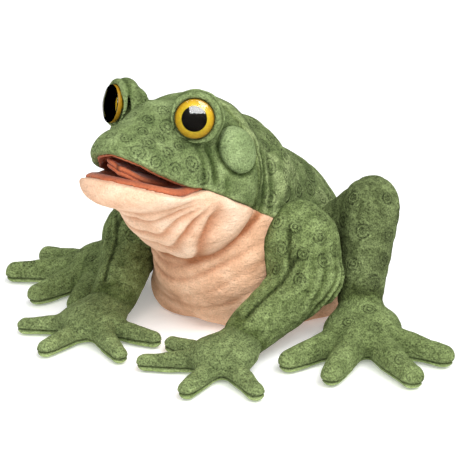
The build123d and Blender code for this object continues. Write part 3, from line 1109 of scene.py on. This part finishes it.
def body_side(p):
    return torso_form(half(p))


def meet(p, other):
    """Shade where a piece is sewn to another, 0 to 1."""
    return crease(other(p), 2.6)


def elbow_wrinkle(p):
    """Wrinkles across the elbow, -1 to 1, and how near they are."""
    bend = p - np.array(ELBOW, float) - np.array((14, -4, -8))
    near = np.exp(-(length(bend) / 25) ** 2)
    way = np.array((0.2, 0.86, -0.45))
    wave = np.sin(bend @ way * 2 * math.pi / 8.5 + 2 * lumps(p, 30, 41))
    return wave, near


def arm_folds(p):
    """Painted shade in the elbow's wrinkles, the crumpled cloth, along the
    seam and where the arm meets the body and the hand.
    """
    wave, near = elbow_wrinkle(p)
    shade = (near * step01(wave, 0.2, 1.0) - 0.3 * ruffle(p, 24, 43)
             + 0.8 * crease(arm_seam(p), 1.5) + 0.9 * meet(p, body_side)
             + 0.8 * meet(p, hand_field))
    return np.clip(shade, 0, 1)


def leg_folds(p):
    """Painted shade behind the knee, above the foot, along the seam and in
    crumpled cloth.
    """
    shade = (0.9 * meet(p, foot_field) + 0.8 * meet(p, body_side)
             + 0.5 * crease(leg_seam(p), 1.5) - 0.3 * ruffle(p, 26, 52))
    return np.clip(shade, 0, 1)


def leg_seam(p):
    return line_mark(p, KNEE, ANKLE, (-0.9, 0.3, 0.2), -20, 64)


def palm_field(p, centre, radii, wrist, wrist_r, tips, root_r, tip_r,
               seed):
    """A palm or instep with its fingers or toes, flat below."""
    f = oval(p, centre, radii)
    knuckles = (centre[0], centre[1] - 6, 11)
    f = join(f, cone(p, wrist, wrist_r, knuckles, 11), 9)
    base = (centre[0], centre[1], root_r)
    for x, y in tips:
        x0, y0 = base[0] * 0.9 + x * 0.1, base[1] * 0.9 + y * 0.1
        finger = cone(p, (x0, y0, root_r), root_r, (x, y, tip_r + 0.4),
                      tip_r)
        f = join(f, finger, 5)
    f = f + 0.6 * lumps(p, 24, seed) - 0.5 * ruffle(p, 18, seed + 1)
    return both(f, -p[:, 2], 4)


def hand_field(p):
    return palm_field(p, PALM, (26, 27, 14), WRIST, 16.5, FINGER_TIPS,
                      9.8, 6.9, 61)


def foot_field(p):
    return palm_field(p, INSTEP, (30, 32, 18), ANKLE, 17, TOE_TIPS,
                      13.8, 8.8, 71)


def edge_seam(p):
    """Distance from the seam round a hand or foot."""
    return np.abs(p[:, 2] - SEAM_Z)


def two_panels(name, side, field, low, high, step, material, warts, folds,
               flip):
    """Top and sole of a hand or foot, cut at the edge seam."""
    top = body_piece(f"{name}_top_{side}",
                     lambda p: both(field(p), SEAM_Z - p[:, 2], 1.2),
                     (*low, 2), high, step, material, warts, folds,
                     edge_seam, flip)
    sole = body_piece(f"{name}_sole_{side}",
                      lambda p: both(field(p), p[:, 2] - SEAM_Z, 1.2),
                      (*low, -3), (*high[:2], 14), step, SOLE,
                      seam=edge_seam, mirror=flip)
    return top, sole


def shoulder_zone(x, y, z):
    return (z > 62) & (x - 0.4 * y > 80)


def shin_zone(x, y, z):
    return (z > 50) & (x - 0.3 * y > 74)


def instep_zone(x, y, z):
    return (z > 24) & (y < 12)


ARM_WARTS = scatter(arm_field, (66, -32, 60), (112, 36, 112),
                    shoulder_zone, gap=14.5, sizes=(4.4, 5.6), seed=3)
LEG_WARTS = scatter(leg_field, (70, 8, 50), (130, 90, 122), shin_zone,
                    gap=19, sizes=(4.6, 6.0), seed=4)
FOOT_WARTS = scatter(foot_field, (100, -24, 22), (146, 14, 36),
                     instep_zone, gap=20, sizes=(4.4, 5.2), seed=6)

limbs = []
for label, sign in SIDES.items():
    flip = sign < 0
    arm = body_piece(f"arm_skin_{label}", arm_field, (34, -84, -2),
                     (118, 44, 114), 2.2, LIMB, ARM_WARTS,
                     arm_folds, arm_seam, flip, soft=True)
    leg = body_piece(f"leg_skin_{label}", leg_field, (24, 2, 12),
                     (136, 110, 126), 2.4, LEG_SHADED, LEG_WARTS,
                     leg_folds, leg_seam, flip, soft=True)
    hand = two_panels("hand", label, hand_field, (-4, -154), (122, -38, 44),
                      1.9, HAND, (), lambda p: 0.8 * meet(p, arm_field), flip)
    foot = two_panels("foot", label, foot_field, (86, -76), (208, 48, 60),
                      2.0, LIMB, FOOT_WARTS,
                      lambda p: 0.9 * meet(p, leg_field), flip)
    limbs.append((label, sign, arm, leg, *hand, *foot))


# ---- glove lining and hem
def sleeve_tube(name, rows, material):
    """Closed tube wall through rows of (distance, half width, half
    height), outer wall forward then inner wall back."""
    segments = 96
    verts = []
    for at, w, h in rows:
        for k in range(segments):
            t = 2 * math.pi * k / segments
            ripple = 0.35 * math.sin(5 * t + at * 0.11)
            spot = (SLEEVE_START + SLEEVE_WAY * at
                    + SLEEVE_UP * (h + ripple) * math.sin(t))
            verts.append(spot + np.array((1, 0, 0))
                         * (w + ripple) * math.cos(t))
    faces = []
    count = len(rows)
    for j in range(count):
        a = j * segments
        b = (j + 1) % count * segments
        for k in range(segments):
            m = (k + 1) % segments
            faces.append((a + k, b + k, b + m, a + m))
    seam = np.full(len(verts), NO_SEAM)
    return make(name, np.array(verts), faces, material, {"seam": seam})


lining_out = [(s, 37.4, 24.4) for s in np.linspace(20, 165, 24)]
lining_in = [(s, 36.0, 23.0) for s in np.linspace(165, 20, 24)]
lining = sleeve_tube("glove_lining_cloth", lining_out + lining_in, LINING)
HEM_R, HEM_STEPS = 3.2, 20
hem_turns = [2 * math.pi * k / HEM_STEPS for k in range(HEM_STEPS)]
hem_rows = [(17.5 + HEM_R * math.sin(t), 38.6 - HEM_R * math.cos(t),
             25.6 - HEM_R * math.cos(t)) for t in hem_turns]
hem = sleeve_tube("opening_hem_roll", hem_rows, LIMB)

# ---- which piece stands for what, and what it moves with
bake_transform(head)
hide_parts("head_panel", "head_stuffing")
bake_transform(back)
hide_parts("back_panel", "body_stuffing", "neck_panel",
            "neck_padding")
stands_for(belly, "torso", "belly_panel")
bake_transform(chin)
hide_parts("chin_panel", "jaw_stuffing", "throat_panel")
stands_for(roof, "head", "upper_palate")
stands_for(floor, "jaw", "lower_palate")
stands_for(finger_stall, "head", "finger_pocket")
stands_for(thumb_stall, "jaw", "thumb_pocket")
stands_for(roof_board, "head", "upper_mouth_board")
stands_for(floor_board, "jaw", "lower_mouth_board")
stands_for(tongue_low, "tongue", "tongue_underside")
stands_for(tongue_up, "tongue", "tongue_top")
for piece, label in zip(lid_pair, SIDES):
    stands_for(piece, "head", f"eyelid_{label}")
for piece, label in zip(gland_pair, SIDES):
    stands_for(piece, "head", f"gland_{label}")
for label, sign, arm, leg, h_top, h_sole, f_top, f_sole in limbs:
    def at(x, y, z):
        return (sign * x * MM, y * MM, z * MM)

    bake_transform(arm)
    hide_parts(f"upper_arm_panel_{label}",
                f"upper_arm_stuffing_{label}", f"forearm_panel_{label}",
                f"forearm_stuffing_{label}")
    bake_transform(leg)
    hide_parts(f"thigh_panel_{label}", f"thigh_stuffing_{label}",
                f"shin_panel_{label}", f"shin_stuffing_{label}")
    for obj, body, node, slot in (
            (h_top, "hand", "hand_top", "dark_green_plush"),
            (h_sole, "hand", "hand_sole", "light_green_plush"),
            (f_top, "foot", "foot_top", "dark_green_plush"),
            (f_sole, "foot", "foot_sole", "light_green_plush")):
        stands_for(obj, f"{body}_{label}", f"{node}_{label}")
stands_for(lining, "torso", "glove_lining")
stands_for(hem, "torso", "opening_hem")

for name in ("eye_washer_left", "eye_washer_right"):
    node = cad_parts[name]
    node.data.materials.clear()
    node.data.materials.append(BOARD)


# ---- stage, light, camera
FLOOR_HALF = 6000   # mm


def stage_floor():
    n = Nodes("studio_floor")
    n.set(Base_Color=(0.93, 0.93, 0.93), Roughness=0.9,
          Emission_Color=(1, 1, 1), Emission_Strength=0.22)
    verts = np.array([(-1, -1, 0), (1, -1, 0), (1, 1, 0), (-1, 1, 0)],
                     float) * FLOOR_HALF
    plane = make("studio_floor", verts, [(0, 1, 2, 3)], n.material,
                 smooth=False)
    plane.visible_glossy = False
    return plane


def toward(azimuth, elevation):
    """Direction to a place round the puppet, degrees, 0 in front."""
    a = math.radians(azimuth)
    e = math.radians(elevation)
    return Vector((math.sin(a) * math.cos(e), -math.cos(a) * math.cos(e),
                   math.sin(e)))


def place(obj, aim, azimuth, elevation, distance):
    """Puts a light or camera round a point and turns it to the point."""
    way = toward(azimuth, elevation)
    obj.location = Vector(aim) + way * distance
    obj.rotation_euler = way.to_track_quat("Z", "Y").to_euler()
    bpy.context.scene.collection.objects.link(obj)
    return obj


def soft_light(name, azimuth, elevation, distance, width, height, power):
    light = bpy.data.lights.new(name, "AREA")
    light.shape = "RECTANGLE"
    light.size = width
    light.size_y = height
    light.energy = power
    obj = bpy.data.objects.new(name, light)
    return place(obj, (0, -0.04, 0.11), azimuth, elevation, distance)


def sun_light(name, azimuth, elevation, spread, energy):
    light = bpy.data.lights.new(name, "SUN")
    light.energy = energy
    light.angle = math.radians(spread)
    obj = bpy.data.objects.new(name, light)
    return place(obj, (0, 0, 0), azimuth, elevation, 0)


stage_floor()
soft_light("key", azimuth=36, elevation=38, distance=1.3, width=1.0,
                    height=0.5, power=11)
sun_light("sun", azimuth=75, elevation=56, spread=35, energy=1.7)

world = bpy.data.worlds.new("studio")
world.use_nodes = True
background = world.node_tree.nodes["Background"]
background.inputs["Color"].default_value = (1, 1, 1, 1)
background.inputs["Strength"].default_value = 0.62
world.cycles_visibility.glossy = False
bpy.context.scene.world = world
bpy.context.scene.view_settings.view_transform = "Standard"

camera = bpy.data.objects.new("camera", bpy.data.cameras.new("camera"))
camera.data.lens = 125.6
camera.data.sensor_width = 36.0
place(camera, (0, 0.0117, 0.0719), azimuth=34.16, elevation=19.34,
      distance=1.2844)
bpy.context.scene.camera = camera
